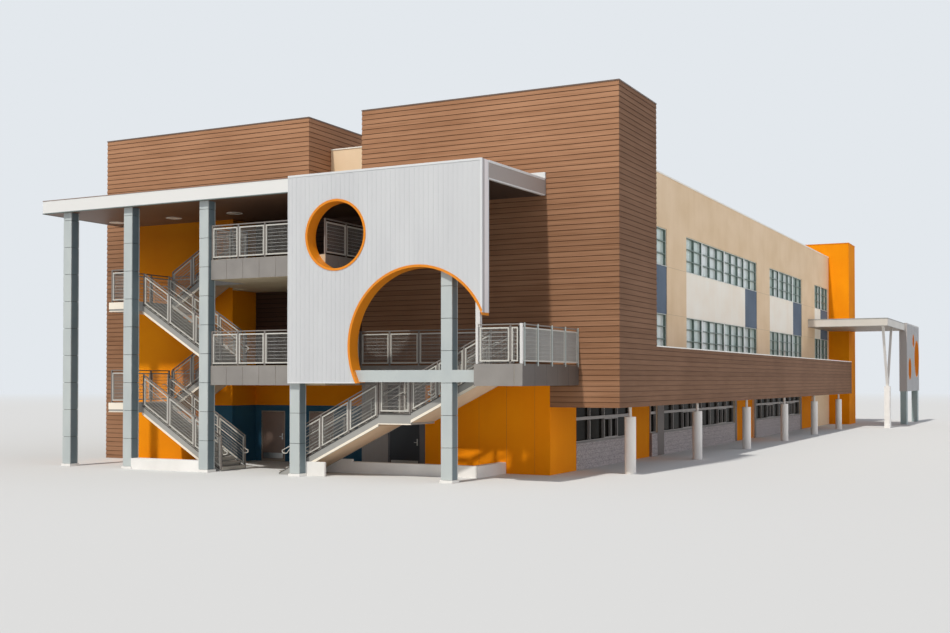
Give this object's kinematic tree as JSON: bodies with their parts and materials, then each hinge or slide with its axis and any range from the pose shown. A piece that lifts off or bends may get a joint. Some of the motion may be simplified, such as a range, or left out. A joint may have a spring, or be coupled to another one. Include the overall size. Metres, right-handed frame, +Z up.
{
  "type": "school building, scale model at 1:2",
  "caption": "Three-storey school with brown towers, a screen wall with round cut-outs, open stairs, terraces and hinged ground-floor doors, at half size.",
  "frame": {"origin": "middle of the ground slab's underside, at ground level", "axes": "+X right along the front, +Y from the front towards the far end, +Z up"},
  "size_m": [14.53, 37.25, 7.57],
  "materials": {
    "concrete_floor": "broom-finished concrete",
    "roof_membrane": "matte single-ply membrane",
    "cream_stucco": "fine sand-float stucco",
    "pale_stucco": "fine sand-float stucco",
    "blue_stucco": "fine sand-float stucco",
    "orange_stucco": "fine sand-float stucco",
    "window_aluminium": "pale painted aluminium",
    "grey_aluminium": "grey anodised aluminium",
    "tinted_glass": "tinted double glazing",
    "dark_glass": "dark tinted glazing",
    "split_block": "speckled ground-face block",
    "plaster_soffit": "smooth cream plaster",
    "brown_siding": "lapped boards, satin paint",
    "white_concrete": "painted concrete",
    "white_coping": "folded sheet, satin paint",
    "brown_coping": "folded sheet, satin paint",
    "navy_paint": "painted stucco",
    "bronze_paint": "satin paint",
    "dark_paint": "satin paint",
    "grey_panel": "composite panel, satin",
    "ribbed_metal": "ribbed sheet, satin silver",
    "orange_metal": "folded sheet, satin paint",
    "column_panel": "pale blue-grey panel",
    "stringer_paint": "satin paint",
    "guard_steel": "silver-white paint"
  },
  "bodies": {
    "building": {"ground_slab": "concrete_floor", "second_floor_slab": "concrete_floor", "third_floor_slab": "concrete_floor", "main_roof_slab": "roof_membrane", "right_wall": "cream_stucco", "left_wall": "cream_stucco", "rear_wall": "cream_stucco", "pale_spandrels": "pale_stucco", "blue_spandrels": "blue_stucco", "upper_window_frames": "window_aluminium", "upper_window_glass": "tinted_glass", "ground_window_frames": "grey_aluminium", "ground_window_glass": "dark_glass", "ground_block_walls": "split_block", "orange_wall_panels": "orange_stucco", "terrace_decks": "plaster_soffit", "terrace_bands": "brown_siding", "round_columns": "white_concrete", "right_tower_walls": "brown_siding", "left_tower_walls": "brown_siding", "tower_roofs": "roof_membrane", "wall_caps": "white_coping", "tower_caps": "brown_coping", "far_tower": "orange_stucco", "far_tower_cap": "orange_metal", "middle_front_wall": "cream_stucco", "orange_stair_wall": "orange_stucco", "recess_side_wall": "brown_siding", "recess_back_wall": "brown_siding", "lobby_bulkhead": "orange_stucco", "lobby_wall": "navy_paint", "lobby_door_frames": "bronze_paint", "tower_door_surround": "grey_aluminium", "ribbed_panel_wall": "grey_panel", "orange_front_wall": "orange_stucco", "screen_wall": "ribbed_metal", "orange_rims": "orange_metal", "screen_roof": "white_coping", "stair_roof": "white_coping", "front_columns": "column_panel", "tie_beams": "column_panel", "second_floor_deck": "grey_panel", "third_floor_deck": "grey_panel", "balcony": "grey_panel", "stair_treads": "concrete_floor", "stair_stringers": "stringer_paint", "stair_soffits": "plaster_soffit", "stair_landings": "stringer_paint", "left_stair_guards": "guard_steel", "right_stair_guards": "guard_steel", "deck_guards": "guard_steel", "balcony_guards": "guard_steel", "low_walls": "white_concrete", "entrance_roof": "white_coping", "entrance_support": "white_concrete", "entrance_screen": "ribbed_metal", "entrance_rims": "orange_metal"},
    "left_door": {"lobby_door_left": "bronze_paint"},
    "right_door": {"lobby_door_right": "bronze_paint"},
    "side_door": {"tower_door": "dark_paint"}
  },
  "joints": [
    {"name": "left_door_hinge", "type": "hinge", "parent": "building", "child": "left_door", "pos_m": [-2.50856, -13.933, 0.5875], "axis": [0, 0, -1], "range_deg": [0, 90]},
    {"name": "right_door_hinge", "type": "hinge", "parent": "building", "child": "right_door", "pos_m": [-1.18801, -13.933, 0.5875], "axis": [0, 0, -1], "range_deg": [0, 90]},
    {"name": "side_door_hinge", "type": "hinge", "parent": "building", "child": "side_door", "pos_m": [1.4125, -14.783, 0.5875], "axis": [0, 0, -1], "range_deg": [0, 90]}
  ]
}
